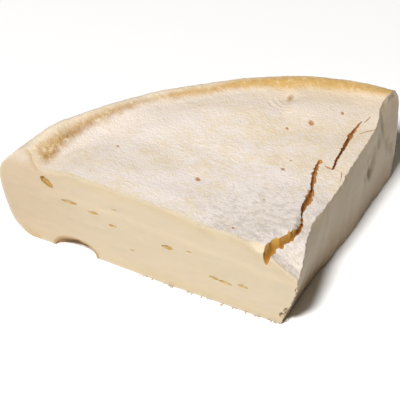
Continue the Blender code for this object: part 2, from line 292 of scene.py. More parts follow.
def crustRelief(x, y):  # what the top stands above the turned profile
    s = slump
    radius = math.hypot(x, y)
    angle = math.degrees(math.atan2(y, x))
    # The valley inside the rim, and the raised edge along the long cut
    atLongCut = ease(*s["valleyAngles"], angle) * ease(*s["valleyStart"], radius)
    height = -s["valleyDepth"] * atLongCut * bell(radius, s["valleyRadius"], s["valleyWidth"])
    inward = Vector((x, y)).dot(Vector((math.sin(longAngle), -math.cos(longAngle)))) + s["edgeShift"]
    atEdge = bell(inward, 0, s["edgeWidth"]) * ease(*s["edgeStart"], radius) * ease(*s["edgeEnd"], radius)
    height += s["edgeRise"] * atEdge
    atCorner = bell(radius, s["cornerRadius"], s["cornerWidth"])
    height += s["cornerRise"] * ease(*s["cornerAngles"], angle) * atCorner
    # The fold that runs in from the rim, and the wrinkles beside it
    along = s["foldEnd"] - s["foldFoot"]
    place = Vector((x, y)) - s["foldFoot"]
    share = place.dot(along) / along.length_squared
    beside = place.dot(Vector((-along.y, along.x)).normalized())
    reach = ease(*s["foldFade"], share) * ease(*s["foldStart"], share)
    reach *= ease(-s["foldWidth"], s["foldWidth"], beside) * ease(*s["foldBack"], beside)
    height += s["foldStep"] * reach
    height -= s["foldPinch"] * bell(place.length, 0, s["pinchWidth"])
    wrinkles = math.sin(place.length / s["wrinklePitch"] * math.tau + 4 * ripple((x, y, 0), 4 * mm, 7.7))
    wrinkles *= bell(place.length, *s["wrinkleRing"]) * ease(*s["wrinkleSide"], beside)
    height += s["wrinkle"] * wrinkles
    # The broken crust, and the torn facet beside it
    beyond, drop, slope = breakAt(x, y)
    facet = ease(s["facetWidth"], 0, inward) * ease(*s["facetReach"], radius) * ease(*s["facetSide"], beyond)
    height -= s["facetDepth"] * facet
    half = broken["blend"] / 2
    sunk = drop * ease(-half, half, beyond) + slope * min(broken["slopeReach"], max(0.0, beyond))
    height -= sunk * ease(*broken["fade"], radius)
    for tall, size, seed in s["waves"]:
        height += tall * ripple((x, y, 0), size, seed)
    return height


def plateProfile(radius):
    share = min(1.0, radius / wheel["plateShare"] / wheel["radius"])
    rise = wheel["height"] * wheel["footOfRim"][0][1] - wheel["plateHeight"]
    sink = wheel["centreSink"] * (1 - share) ** 2
    return wheel["plateHeight"] - sink + rise * ease(*wheel["plateRise"], share)


def rampAt(x, y):  # the plate rises towards the rim
    angle = math.degrees(math.atan2(y, x))
    return slump["ramp"] * ease(*slump["rampReach"], math.hypot(x, y)) * ease(*slump["rampAngles"], angle)


def crustTop(x, y):
    return plateProfile(math.hypot(x, y)) + crustRelief(x, y) + rampAt(x, y)


def settled(x, y, z):  # a point of the turned wheel after the cheese has ripened
    s = slump
    radius = math.hypot(x, y)
    angle = math.degrees(math.atan2(y, x))
    share = radius / wheel["radius"]
    onTop = ease(wheel["sideHeight"], 0.8 * wheel["plateHeight"], z)
    onRim = ease(*s["rimShares"], share)
    height = z
    if onTop > 0:
        height += onTop * (1 - onRim) * crustRelief(x, y)
        height += onTop * onRim * s["rimRoll"] * ripple((x, y, z), 8.5 * mm, 5.2)
        height += onTop * rampAt(x, y) * ease(*s["rampEnd"], radius)
        for px, py, size in pits:
            height -= 0.45 * size * mm * bell(math.hypot(x - px * mm, y - py * mm), 0, 0.8 * size * mm)
    height -= s["sag"] * bell(angle, s["sagAngle"], s["sagWidth"]) * onRim * onTop
    atEnd = ease(*s["endAngles"], angle) * ease(*s["endLimit"], angle)
    height -= s["shoulder"] * atEnd * onTop * bell(radius, s["shoulderRadius"], s["shoulderWidth"])
    slack = -s["tuck"] * ease(*s["tuckAngles"], angle) + s["sway"] * ripple((x, y, z), 13 * mm, 1.7)
    slack += s["bulge"] * atEnd * ease(*s["bulgeHeights"], z)
    slack *= ease(0.78, 0.95, share) * ease(0, 3 * mm, z)
    low = ease(*s["lowAngles"][:2], angle) * (1 - ease(*s["lowAngles"][2:], angle)) * onTop
    grown = (radius + slack - s["low"] * low * onRim) / max(radius, 1e-9)
    return x * grown, y * grown, height


def turnWheel():  # rings down the profile; towards the middle each ring has half the columns
    w = wheel
    edge = w["plateShare"] * w["radius"]
    flat = [(r, plateProfile(r)) for r in np.arange(w["firstRing"], edge, w["ringStep"])]
    footOfPlate = (w["plateShare"], plateProfile(edge) / w["height"])
    shares = (footOfPlate, *w["footOfRim"], *w["crest"], *w["side"], *w["toe"])
    rim = throughPoints([(r * w["radius"], z * w["height"]) for r, z in shares], w["ringStep"])
    base = [(r * mm, 0.0) for r in w["baseRings"]]
    low, high = w["sector"]
    inside, outside = w["columns"]
    angles = np.radians([*np.linspace(low, high, inside, endpoint=False),
                         *np.linspace(high, low + 360, outside, endpoint=False)])
    most = len(w["halvings"])
    rings = [(r, z, sum(r <= limit for limit in w["halvings"])) for r, z in [*flat, *rim]]
    rings += [(r, z, min(most, n + 1)) for n, (r, z) in enumerate(base)]
    points, faces, starts = [], [], []
    for r, z, step in rings:
        starts.append(len(points))
        points += [settled(r * math.cos(a), r * math.sin(a), z) for a in angles[:: 2 ** step]]
    for n, (one, two) in enumerate(zip(rings, rings[1:])):
        a, b = starts[n], starts[n + 1]
        many = len(angles) >> min(one[2], two[2])
        for i in range(many):
            j = (i + 1) % many
            if one[2] == two[2]:
                faces.append((a + i, b + i, b + j, a + j))
            elif one[2] > two[2]:  # the next ring has twice as many
                faces.append((a + i // 2, b + i, b + j))
                if i % 2:
                    faces.append((a + i // 2, b + j, a + j // 2))
            else:
                faces.append((a + i, b + i // 2, a + j))
                if i % 2:
                    faces.append((b + i // 2, b + j // 2, a + j))
    few = len(angles) >> most
    for start, height in ((starts[0], settled(0, 0, plateProfile(0))[2]), (starts[-1], 0.0)):
        middle = len(points)
        points.append((0, 0, height))
        faces += [(middle, start + i, start + (i + 1) % few) for i in range(few)]
    return closedMesh("wheel", points, faces)


def newTree(name, inputs):  # an empty tree of Geometry Nodes, with the name and kind of each input
    tree = bpy.data.node_groups.new(name, "GeometryNodeTree")
    tree.interface.new_socket("Geometry", in_out="INPUT", socket_type="NodeSocketGeometry")
    for label, kind in inputs.items():
        tree.interface.new_socket(label, in_out="INPUT", socket_type="NodeSocket" + kind)
    tree.interface.new_socket("Geometry", in_out="OUTPUT", socket_type="NodeSocketGeometry")
    bench = Bench(tree)
    return bench, bench.node("NodeGroupInput").other


def endTree(bench, geometry, material):
    real = bench.node("GeometryNodeRealizeInstances", {}, {0: geometry})
    done = bench.node("GeometryNodeSetMaterial", {}, {"Geometry": real, "Material": material})
    last = bench.tree.nodes.new("NodeGroupOutput")
    bench.tree.links.new(done.socket, last.inputs[0])
    return bench.tree


def dressed(thing, tree, values):  # runs a node tree on an object and keeps the plain mesh
    modifier = thing.modifiers.new(tree.name, "NODES")
    modifier.node_group = tree
    for item in tree.interface.items_tree:
        if item.in_out == "INPUT" and item.name in values:
            modifier[item.identifier] = values[item.name]
    mesh = settledMesh(thing)
    thing.modifiers.clear()
    thing.data = mesh
    return thing


def settledMesh(thing):
    graph = bpy.context.evaluated_depsgraph_get()
    return bpy.data.meshes.new_from_object(thing.evaluated_get(graph))


# The drying cloth's print in the rind, and the bloom's own grain
clothPrint = dict(
    rowPitch=1.25 * mm,
    rowAngle=128.5,
    threadPitch=1.05 * mm,
    rowHeight=0.018 * mm,
    grainHeight=0.15 * mm,
    coarseHeight=0.10 * mm,
    lumpHeight=0.34 * mm,
    crumbleHeight=0.5 * mm,
    crumbleAt=(1.5 * mm, 5 * mm, 0),
    crumbleReach=(15 * mm, 5 * mm),
    rimRadii=(57 * mm, 63 * mm),
    seed=2.0,
)


def printTerms(bench, place, pitch, thread, seed):  # the cloth's rows and the patches where they show
    turn = math.radians(clothPrint["rowAngle"])
    across = bench.dot(place, (-math.sin(turn), math.cos(turn), 0))
    along = bench.dot(place, (math.cos(turn), math.sin(turn), 0))
    drift = bench.speckle(place, 8 * mm, 1, seed=seed)
    rows = bench.sine((across / pitch + drift * 2.4) * math.tau)
    threads = bench.sine((along / thread + drift * 3.1) * math.tau)
    patches = bench.ease(0.4, 0.62, bench.speckle(place, 13 * mm, 2, seed=seed + 4))
    return rows * (threads * 0.35 + 0.65), patches


def rindRelief(rind):
    c = clothPrint
    values = {"Row pitch": c["rowPitch"], "Thread pitch": c["threadPitch"], "Row height": c["rowHeight"],
              "Grain height": c["grainHeight"], "Coarse height": c["coarseHeight"],
              "Lump height": c["lumpHeight"], "Crumble height": c["crumbleHeight"], "Seed": c["seed"]}
    bench, put = newTree("rind relief", dict.fromkeys(values, "Float"))
    place = bench.node("GeometryNodeInputPosition")
    normal = bench.node("GeometryNodeInputNormal")
    flat = bench.vector("MULTIPLY", place, (1, 1, 0))
    onRim = bench.ease(*c["rimRadii"], bench.distance(flat, (0, 0, 0)))
    onBase = bench.ease(-0.85, -0.97, bench.dot(normal, (0, 0, 1)))
    rows, patches = printTerms(bench, place, put("Row pitch"), put("Thread pitch"), put("Seed"))
    fine = (bench.speckle(place, 0.75 * mm, 3, 0.62) - 0.5) * put("Grain height")
    coarse = bench.speckle(place, 2.3 * mm, 3, 0.6, 7.0) - 0.5
    lumps = bench.speckle(place, 5.5 * mm, 2, 0.55, 3.0) - 0.5
    crumbly = bench.ease(*c["crumbleReach"], bench.distance(flat, c["crumbleAt"]))
    plain = rows * (patches * 0.75 + 0.25) * put("Row height") + fine + coarse * put("Coarse height")
    rough = (lumps + coarse) * put("Lump height") + fine * 1.8
    height = plain + (rough - plain) * onRim + coarse * put("Crumble height") * crumbly
    offset = bench.scaled(normal, height * (1 - onBase))
    moved = bench.node("GeometryNodeSetPosition", {}, {"Geometry": put("Geometry"), "Offset": offset})
    return endTree(bench, moved, rind), values


# The two cuts: offsets are outwards from a plane through the wheel's axis
cuts = dict(
    wave=0.35 * mm,
    longLean=0.3 * mm,
    longLeanSlope=0.013,
    topWave=0.7 * mm,
    topWaveHeights=(14.5 * mm, 17.5 * mm),
    ledge=0.26 * mm,
    creaseHeight=13.2 * mm,
    creaseSlope=0.045,
    creaseWidth=0.5 * mm,
    roundEnd=1.7 * mm,
    roundHeights=(16.2 * mm, 20.5 * mm),
    roundReach=(59 * mm, 62.5 * mm),
    # Thin ridges in the long cut: distance, height, slope, thickness, length and rise
    ridges=((47, 7.9, 0.04, 0.35, 5, 0.16), (9, 3.6, 0.05, 0.4, 7, 0.12)),
    # Dips in the long cut: distance, height, size and depth
    dips=((28.3, 7.6, 2.4, 0.22), (57.6, 13.1, 1.5, 0.35), (15.5, 4.6, 3.4, 0.14)),
    # Dents in the short cut: distance, height, width, tallness and depth
    dents=((50.6, 8.6, 1.0, 1.3, 1.9), (52.6, 11.2, 0.8, 2.6, 1.1), (48.6, 12.4, 0.8, 1.5, 0.5),
           (58.2, 15.2, 0.9, 3.2, 0.65), (55.0, 13.6, 0.9, 1.8, 0.6), (60.4, 10.4, 1.0, 1.8, 0.6),
           (47.0, 9.2, 0.8, 1.2, 0.45), (63.0, 8.0, 0.9, 1.4, 0.6)),
    pointLeanTop=2.4 * mm,
    pointLeanBottom=-1.1 * mm,
    leanHeight=12 * mm,
    cornerLean=1.1 * mm,
    drag=0.05 * mm,
    tornEdge=0.34 * mm,
    alongs=(-4.5 * mm, 71.5 * mm),
    heights=(-0.3 * mm, 22.2 * mm),
    step=0.42 * mm,
)


def tornBack(x, y, height, seed):  # the rind's edge has crumbled back from the cut
    under = crustTop(x, y) - height
    if math.hypot(x, y) > 61 * mm:
        under = min(under, wheel["height"] - height)
    bite = 0.4 + 0.7 * ripple((x, y, height), 2.4 * mm, seed)
    bite += 0.9 * ripple((x, y, height), 0.9 * mm, seed + 1)
    return -cuts["tornEdge"] * max(0.0, bite) * ease(0.8 * mm, -0.1 * mm, under)


def longCut(along, height, direction, outward):
    c = cuts
    out = c["wave"] * ripple((along, height * 0.6, 0), 15 * mm, 6.1)
    out += (c["longLean"] + c["longLeanSlope"] * max(0.0, along)) * ease(1 * mm, 13 * mm, height)
    out += c["topWave"] * ripple((along, 0, 0), 6 * mm, 2.2) * ease(*c["topWaveHeights"], height)
    out -= c["roundEnd"] * ease(*c["roundHeights"], height) * ease(*c["roundReach"], along)
    crease = c["creaseHeight"] - c["creaseSlope"] * max(0.0, 56 * mm - along)
    crease += 0.3 * mm * ripple((along, 0, 0), 7 * mm, 1.3)
    overCrease = ease(crease - c["creaseWidth"], crease + c["creaseWidth"], height)
    out -= c["ledge"] * overCrease * ease(60 * mm, 52 * mm, along)
    for far, tall, slope, thick, length, rise in c["ridges"]:
        ridge = tall * mm + slope * (along - far * mm)
        out += rise * mm * bell(height, ridge, thick * mm) * bell(along, far * mm, length * mm)
    out += c["drag"] * ripple((along * 0.25, height, 0), 0.9 * mm, 4.0)
    out += 0.10 * mm * ripple((along, height, 0), 2.6 * mm, 9.1)
    out += 0.05 * mm * ripple((along, height, 0), 1.0 * mm, 3.3)
    for far, tall, wide, deep in c["dips"]:
        out -= deep * mm * bell(math.hypot(along - far * mm, 1.6 * (height - tall * mm)), 0, wide * mm)
    for far, tall, length, gap, deep, tilt in eyes["places"][:8]:
        if abs(along - far * mm) < length * mm:
            lip = (tall - 0.8 * gap - (far - along / mm) * math.sin(math.radians(tilt))) * mm
            out += eyes["lip"] * bell(height, lip, 0.45 * mm) * bell(along, far * mm, 0.45 * length * mm)
    place = direction * along
    return out + tornBack(place.x, place.y, height, 5.0)


def shortCut(along, height, direction, outward):
    c = cuts
    nearTop = c["pointLeanTop"] * ease(16 * mm, -1 * mm, along) + 0.5 * mm
    nearBottom = c["pointLeanBottom"] * ease(40 * mm, 14 * mm, along)
    out = nearBottom + (nearTop - nearBottom) * ease(-2 * mm, c["leanHeight"], height)
    out += c["wave"] * ripple((along * 0.8, height, 4 * mm), 9 * mm, 9.7)
    for far, tall, wide, high, deep in c["dents"]:
        dip = math.hypot((along - far * mm) / wide, (height - tall * mm) / high)
        out -= deep * mm * bell(dip, 0, 1.1 * mm)
    out -= c["cornerLean"] * bell(along, 59.5 * mm, 4.5 * mm) * ease(12.5 * mm, 19.5 * mm, height)
    out += 0.22 * mm * ripple((along, height * 0.5, 0), 3 * mm, 2.9)
    out += 0.08 * mm * ripple((along, height, 0), 1.1 * mm, 8.8)
    place = direction * along + outward * out
    return out + tornBack(place.x, place.y, height, 15.0)


def knifeMesh(name, angle, side, offset):  # all that lies beyond a cut: its wavy face and a flat back
    direction = Vector((math.cos(angle), math.sin(angle), 0))
    outward = Vector((-direction.y, direction.x, 0)) * side
    nearEnd, farEnd = cuts["alongs"]
    foot, head = cuts["heights"]
    alongs = [-80 * mm, -30 * mm, -9 * mm, *np.arange(nearEnd, farEnd, cuts["step"]), 80 * mm]
    heights = [-6 * mm, -2 * mm, *np.arange(foot, head, cuts["step"]), 28 * mm]
    points = []
    for height in heights:
        for along in alongs:
            out = offset(min(max(along, nearEnd), farEnd), min(max(height, foot), head), direction, outward)
            points.append(direction * along + outward * out + Vector((0, 0, height)))
    wide, tall = len(alongs), len(heights)
    faces = []
    for row in range(0, (tall - 1) * wide, wide):
        faces += [(n, n + 1, n + wide + 1, n + wide) for n in range(row, row + wide - 1)]
    loop = [*range(wide), *range(2 * wide - 1, tall * wide, wide)]
    loop += [*range(tall * wide - 2, (tall - 1) * wide - 1, -1), *range((tall - 2) * wide, 0, -wide)]
    back = len(points)
    points += [points[n] - outward * (points[n].dot(outward) - 160 * mm) for n in loop]
    count = len(loop)
    faces += [(loop[n], loop[(n + 1) % count], back + (n + 1) % count, back + n) for n in range(count)]
    faces.append(tuple(range(back, back + count)))
    return closedMesh(name, points, faces)


# Cracks in the crust: x, y, width and depth along each
cracks = dict(
    lines=dict(
        point=(
            (-6.4, -1.6, 0.9, 2.2), (-4.8, 0.6, 1.4, 3.2), (-3.1, 3.0, 1.8, 3.8), (-0.8, 5.3, 1.55, 3.4),
            (2.0, 6.7, 1.25, 2.9), (4.9, 8.6, 0.95, 2.4), (6.4, 10.3, 0.8, 2.1), (7.5, 12.3, 0.5, 1.6),
            (8.2, 14.6, 0.35, 1.2), (8.6, 15.6, 0.4, 1.4), (9.4, 17.0, 1.0, 2.2), (11.0, 19.2, 1.3, 2.3),
            (12.8, 22.0, 1.05, 2.2), (13.5, 24.0, 0.65, 1.8), (14.2, 25.7, 0.9, 2.0), (16.1, 29.4, 1.05, 2.0),
            (17.9, 32.4, 0.75, 1.5), (18.3, 33.0, 0.2, 0.6),
        ),
        shortCut=(
            (18.6, 30.6, 0.3, 0.8), (19.5, 29.4, 0.5, 1.3), (20.1, 29.9, 0.5, 1.4), (21.5, 32.2, 0.55, 2.0),
            (23.0, 34.2, 0.6, 2.1), (24.2, 35.8, 0.9, 2.5), (25.5, 37.3, 0.95, 2.5), (26.1, 38.6, 0.75, 2.3),
            (27.0, 39.8, 1.1, 2.4), (28.6, 41.5, 0.85, 2.0), (29.6, 42.5, 0.5, 1.0), (30.9, 43.7, 0.25, 0.6),
        ),
        hairAbove=((31.1, 43.1, 0.12, 0.3), (32.2, 43.8, 0.18, 0.35), (33.1, 44.6, 0.1, 0.25)),
        hairBranch=((29.2, 40.0, 0.12, 0.3), (30.7, 40.4, 0.18, 0.4), (32.2, 40.4, 0.22, 0.45),
                    (34.0, 40.3, 0.22, 0.5)),
        hairFoot=((21.2, 28.4, 0.08, 0.2), (20.8, 26.9, 0.12, 0.25), (19.9, 25.0, 0.08, 0.2)),
    ),
    # The section from side to side: the share of the width, and the share of the depth
    section=((0.75, -1.5), (0.5, 0.0), (0.47, 0.12), (0.37, 0.45), (0.2, 0.85), (0.02, 1.0),
             (-0.18, 0.85), (-0.36, 0.45), (-0.47, 0.12), (-0.5, 0.0), (-0.75, -1.5)),
    step=0.32 * mm,
    jitter=0.42 * mm,
    jitterSize=1.2 * mm,
    beads=0.75,
    beadSize=0.9 * mm,
    ragged=0.4 * mm,
    raggedSize=0.7 * mm,
    above=1.5 * mm,
    lipShare=0.4,
    depthShare=0.55,
)


def crackMesh(name, stations):
    c = cracks
    route = throughPoints([[value * mm for value in row] for row in stations], c["step"])
    points, faces = [], []
    count = len(c["section"])
    for n, (x, y, width, depth) in enumerate(route):
        heading = Vector((route[min(n + 1, len(route) - 1)] - route[max(n - 1, 0)])[:2]).normalized()
        side = Vector((-heading.y, heading.x))
        narrow = min(1.0, width / mm)
        jitter = narrow * ease(2.6 * mm, 1.1 * mm, width) * c["jitter"]
        jitter *= ripple((x, y, 0), c["jitterSize"], 4.4)
        place = Vector((x, y)) + side * jitter * 0.4
        beads = c["beads"] * ripple((x, y, 0), c["beadSize"], 6.6) * ease(1.7 * mm, 1.0 * mm, width)
        tops = [crustTop(*(place + side * share * width)) for share in (-0.5, 0.5)]
        for share, deep in c["section"]:
            loose = ease(0.14, 0.0, deep)  # only the crust's edge is jagged
            ragged = ripple((x + share * mm, y, 0), c["raggedSize"], 1.9) * c["ragged"] * narrow
            ragged += jitter * 0.6
            spot = place + side * (share * width * (1 + beads * loose) + ragged * loose)
            top = tops[1] if share > 0 else tops[0]
            height = top - depth * deep * c["lipShare"]
            if deep < 0:
                height = top + c["above"]
            elif deep > 0.2:
                height = min(tops) - c["depthShare"] * depth * deep
            points.append((spot.x, spot.y, height))
        if n:
            a, b = (n - 1) * count, n * count
            faces += [(a + i, a + (i + 1) % count, b + (i + 1) % count, b + i) for i in range(count)]
    faces.append(tuple(range(count)))
    faces.append(tuple(range(len(points) - count, len(points))))
    return closedMesh(name, points, faces)


# Eyes in the long cut: distance from the axis, height, length, gap, depth and tilt
eyes = dict(
    places=(
        (57.7, 14.8, 3.6, 1.55, 1.15, -28), (51.9, 12.0, 3.8, 0.8, 0.26, 3), (46.0, 11.3, 3.0, 0.55, 0.18, 3),
        (41.4, 9.6, 1.9, 0.55, 0.2, 0), (28.0, 9.0, 2.8, 0.85, 0.32, 3), (17.0, 5.4, 2.5, 0.6, 0.26, -2),
        (14.2, 5.2, 3.2, 0.7, 0.3, 0), (9.8, 6.0, 2.4, 0.65, 0.26, 0), (41.2, 13.3, 1.3, 0.35, 0.14, 3),
        (36.9, 5.1, 1.3, 0.35, 0.14, 0), (22.8, 9.7, 1.2, 0.3, 0.14, 0),
    ),
    lift=11.0,
    lip=0.11 * mm,
    roughness=0.2,
)
# The recess under the long cut's foot
hollow = dict(along=51.1 * mm, size=Vector((5.1, 3.0, 2.9)) * mm, roughness=0.06)
# Nicks in the point's edge: height, x, y, radius
chips = dict(places=((2.1, -0.1, 0.1, 1.25), (3.5, 0.5, -0.3, 0.95), (9.3, 2.0, -2.3, 0.7)),
             squash=Vector((1, 1, 0.85)), roughness=0.34)


def scoopMesh(name, place, size, turn, roughness, seed, divisions=4):
    body = bmesh.new()
    bmesh.ops.create_icosphere(body, subdivisions=divisions, radius=1.0)
    for vertex in body.verts:
        uneven = ripple(vertex.co, 0.55, seed) + 0.6 * ripple(vertex.co, 0.25, seed + 3)
        vertex.co *= 1 + roughness * uneven
    shape = Matrix.Translation(place) @ turn @ Matrix.Diagonal((*size, 1))
    bmesh.ops.transform(body, matrix=shape, verts=body.verts)
    mesh = bpy.data.meshes.new(name)
    body.to_mesh(mesh)
    body.free()
    return mesh


def cutCheese(rind, paste, inside, eyeWall):
    body = dressed(pieceFrom("cheese", turnWheel()), *rindRelief(rind))
    print("wheel turned", len(body.data.polygons))
    crust = BVHTree.FromPolygons([v.co for v in body.data.vertices], [p.vertices for p in body.data.polygons])
    body.data.materials.clear()
    for material in (rind, paste, inside, eyeWall):
        body.data.materials.append(material)
    knives = (("longCut", longAngle, 1, longCut), ("shortCut", shortAngle, -1, shortCut))
    shapes = [(knifeMesh(*knife), paste) for knife in knives]
    shapes += [(crackMesh(name, stations), inside) for name, stations in cracks["lines"].items()]
    turned = Matrix.Rotation(longAngle, 4, "Z")
    lifted = Matrix.Rotation(math.radians(-eyes["lift"]), 4, "X")
    for n, (far, tall, length, gap, depth, tilt) in enumerate(eyes["places"]):
        face = alongLong * far * mm + outOfLong * longCut(far * mm, tall * mm, alongLong, outOfLong)
        turn = turned @ Matrix.Rotation(math.radians(tilt), 4, "Y") @ lifted
        size = Vector((length / 2, depth, gap / 2)) * mm
        mesh = scoopMesh(f"eye{n}", face + Vector((0, 0, tall * mm)), size, turn, eyes["roughness"], 3 * n)
        shapes.append((mesh, eyeWall))
    place = alongLong * hollow["along"]
    shapes.append((scoopMesh("hollow", place, hollow["size"], turned, hollow["roughness"], 1, 5), paste))
    for n, (tall, x, y, radius) in enumerate(chips["places"]):
        place, size = Vector((x, y, tall)) * mm, chips["squash"] * radius * mm
        shapes.append((scoopMesh(f"chip{n}", place, size, Matrix(), chips["roughness"], 5 * n), paste))
    cutters = []
    for mesh, material in shapes:
        cutters.append(pieceFrom(mesh.name, mesh, material))
        modifier = body.modifiers.new(mesh.name, "BOOLEAN")
        modifier.operation = "DIFFERENCE"
        modifier.solver = "MANIFOLD"
        modifier.object = cutters[-1]
    body.data = settledMesh(body)
    body.modifiers.clear()
    for cutter in cutters:
        bpy.data.objects.remove(cutter)
    print("wedge cut", len(body.data.polygons))
    return body, crust


# The ochre band's inner and outer edge: radius in mm at angles around the axis, and a dip at the fold
footLine = dict(
    angles=(56, 64, 67.4, 71, 75, 78.6, 82, 86, 90, 94.4, 98.3, 103, 107.7, 112.5, 118, 121, 128),
    radii=(62.4, 62.4, 62.4, 62.8, 62.7, 62.9, 62.9, 62.5, 62.2, 61.9, 62.6, 62.0, 61.8, 61.5, 61.3,
           60.4, 59.3),
    outerAngles=(56, 64, 75, 80, 86, 98, 106, 114.7, 128),
    outerRadii=(66.5, 67.1, 67.0, 66.8, 65.5, 64.8, 65.1, 65.0, 65.0),
    dip=0.9,
    dipAngle=71.9,
    dipWidth=2.4,
    shareWidth=4 * mm,  # from the inner edge, a rim share of 1
)


def finishCheese(body, crust):
    f = footLine
    mesh = body.data
    tidy = bmesh.new()
    tidy.from_mesh(mesh)
    bmesh.ops.triangulate(tidy, faces=[face for face in tidy.faces if len(face.verts) > 4])
    tidy.to_mesh(mesh)
    tidy.free()
    place = np.empty(len(mesh.vertices) * 3)
    mesh.vertices.foreach_get("co", place)
    x, y = place.reshape(-1, 3)[:, :2].T
    radius, angle = np.hypot(x, y), np.degrees(np.arctan2(y, x))
    dip = f["dip"] * np.exp(-(((angle - f["dipAngle"]) / f["dipWidth"]) ** 2))
    foot = (np.interp(angle, f["angles"], f["radii"]) - dip) * mm
    edge = np.interp(angle, f["outerAngles"], f["outerRadii"]) * mm
    for name, values in (("crustDistance", [crust.find_nearest(v.co)[3] for v in mesh.vertices]),
                         ("rimShare", (radius - foot) / f["shareWidth"]), ("rimOuter", radius - edge)):
        mesh.attributes.new(name, "FLOAT", "POINT").data.foreach_set("value", values)
    for polygon in mesh.polygons:
        polygon.use_smooth = True
    mesh.set_sharp_from_angle(angle=math.radians(48))
    mesh.transform(Matrix.Translation(wheel["axis"]))
    print("cheese finished", len(mesh.polygons))


# Crumbs at the long cut's foot and on the point's edge
crumbs = dict(
    spacing=0.85 * mm,
    size=0.36 * mm,
    least=(0.3, 0.3, 0.25),
    most=(1.0, 1.0, 0.7),
    seed=7,
    footReach=(1.5, 37.0, 1.5),  # along the cut from, to and step, in mm
    footWidth=0.6 * mm,
    footHeight=0.08 * mm,
    edge=((-0.7, 1.0, 0.1), (-0.3, 0.5, 1.5), (0.2, -0.1, 3.0), (0.6, -0.7, 4.5), (1.0, -1.3, 6.0),
          (1.3, -1.8, 7.5), (1.6, -2.3, 9.0), (1.7, -2.4, 10.6)),
    edgeWidth=0.7 * mm,
)


def crumbTree(paste):
    bench, put = newTree("crumbs", {"Spacing": "Float", "Size": "Float", "Seed": "Int"})
    density = 1.0 / (put("Spacing") * put("Spacing"))
    sockets = {"Mesh": put("Geometry"), "Density": density, "Seed": put("Seed")}
    points = bench.node("GeometryNodeDistributePointsOnFaces", {}, sockets)
    lump = bench.node("GeometryNodeMeshIcoSphere", {}, {"Radius": 1.0, "Subdivisions": 2})
    grain = bench.speckle(bench.node("GeometryNodeInputPosition"), 0.9, 2, 0.6, 3.0) - 0.5
    offset = bench.scaled(bench.node("GeometryNodeInputNormal"), grain * 1.6)
    rough = bench.node("GeometryNodeSetPosition", {}, {"Geometry": lump, "Offset": offset})

    def anyOf(low, high):  # a random vector for each crumb
        sockets = {0: low, 1: high, "Seed": put("Seed")}
        return bench.node("FunctionNodeRandomValue", {"data_type": "FLOAT_VECTOR"}, sockets)

    turn = anyOf((0, 0, 0), (6.2, 6.2, 6.2))
    size = bench.scaled(anyOf(crumbs["least"], crumbs["most"]), put("Size"))
    sockets = {"Points": points, "Instance": rough, "Rotation": turn, "Scale": size}
    real = bench.node("GeometryNodeRealizeInstances", {},
                      {0: bench.node("GeometryNodeInstanceOnPoints", {}, sockets)})
    resting = bench.vector("MAXIMUM", bench.node("GeometryNodeInputPosition"), (-1, -1, 0))
    flat = bench.node("GeometryNodeSetPosition", {}, {"Geometry": real, "Position": resting})
    values = {"Spacing": crumbs["spacing"], "Size": crumbs["size"], "Seed": crumbs["seed"]}
    return endTree(bench, flat, paste), values


def scatterCrumbs(paste):
    foot = []
    for far in np.arange(*crumbs["footReach"]) * mm:
        face = alongLong * far + outOfLong * longCut(far, 0, alongLong, outOfLong)
        face.z = crumbs["footHeight"]
        foot.append((face, face + outOfLong * crumbs["footWidth"]))
    aside = Vector((0.62, 0.78, 0)) * crumbs["edgeWidth"]
    edge = [(Vector(p) * mm - aside * 0.2, Vector(p) * mm + aside) for p in crumbs["edge"]]
    points, faces = [], []
    for rows in (foot, edge):
        start = len(points)
        for row in rows:
            points += [spot + wheel["axis"] for spot in row]
        faces += [(n, n + 1, n + 3, n + 2) for n in range(start, len(points) - 2, 2)]
    mesh = bpy.data.meshes.new("crumbs")
    mesh.from_pydata(points, [], faces)
    made = dressed(pieceFrom("crumbs", mesh), *crumbTree(paste))
    print("crumbs scattered", len(made.data.polygons))
    return made


def newMaterial(name):
    material = bpy.data.materials.new(name)
    material.use_nodes = True
    bench = Bench(material.node_tree)
    shader = material.node_tree.nodes["Principled BSDF"]
    place = bench.node("ShaderNodeTexCoord").other("Object")
    return material, bench, shader, bench.vector("SUBTRACT", place, tuple(wheel["axis"]))


def wire(bench, shader, **values):
    for name, value in values.items():
        socket = shader.inputs[name.replace("_", " ")]
        if isinstance(value, Term):
            bench.tree.links.new(value.socket, socket)
        else:
            socket.default_value = value


def soaked(bench, shader, finish):  # its shine, and how far light soaks in
    wire(bench, shader, Specular_IOR_Level=finish["specular"], Subsurface_Weight=finish["soak"],
         Subsurface_Scale=finish["soakDepth"], Subsurface_Radius=finish["soakTint"])


def bump(bench, height, strength, distance):
    return bench.node("ShaderNodeBump", {}, {"Strength": strength, "Distance": distance, "Height": height})


def attribute(bench, name):
    return bench.node("ShaderNodeAttribute", {"attribute_name": name}).other("Fac")


def fromAxis(bench, place):  # the place without its height, and its distance from the wheel's axis
    flat = bench.vector("MULTIPLY", place, (1, 1, 0))
    return flat, bench.distance(flat, (0, 0, 0))


# The rind: white bloom over ochre
rindFinish = dict(
    bloom=tone(227, 217, 211),
    cream=tone(221, 206, 183),
    ochre=tone(211, 188, 148),
    grey=tone(198, 188, 178),
    cutEdge=tone(214, 198, 168),
    torn=tone(198, 184, 158),
    rimGold=tone(193, 158, 98),
    rimOchre=tone(188, 158, 114),
    rimBrownAndShade=tone(158, 118, 70),
    rimPale=tone(224, 210, 188),
    peachAndShade=tone(211, 192, 166),
    # tone of the painted shade on the plate
    plateShade=tone(198, 183, 163),
    spot=tone(168, 120, 70),
    fold=tone(146, 112, 68),
    edgeBand=0.8 * mm,
    pointBand=1.4 * mm,
    roughness=0.92,
    bumps=(0.5, 0.5 * mm),  # strength and distance
    specular=0.2,
    soak=0.1,
    soakDepth=0.8 * mm,
    soakTint=(1.0, 0.7, 0.4),
)


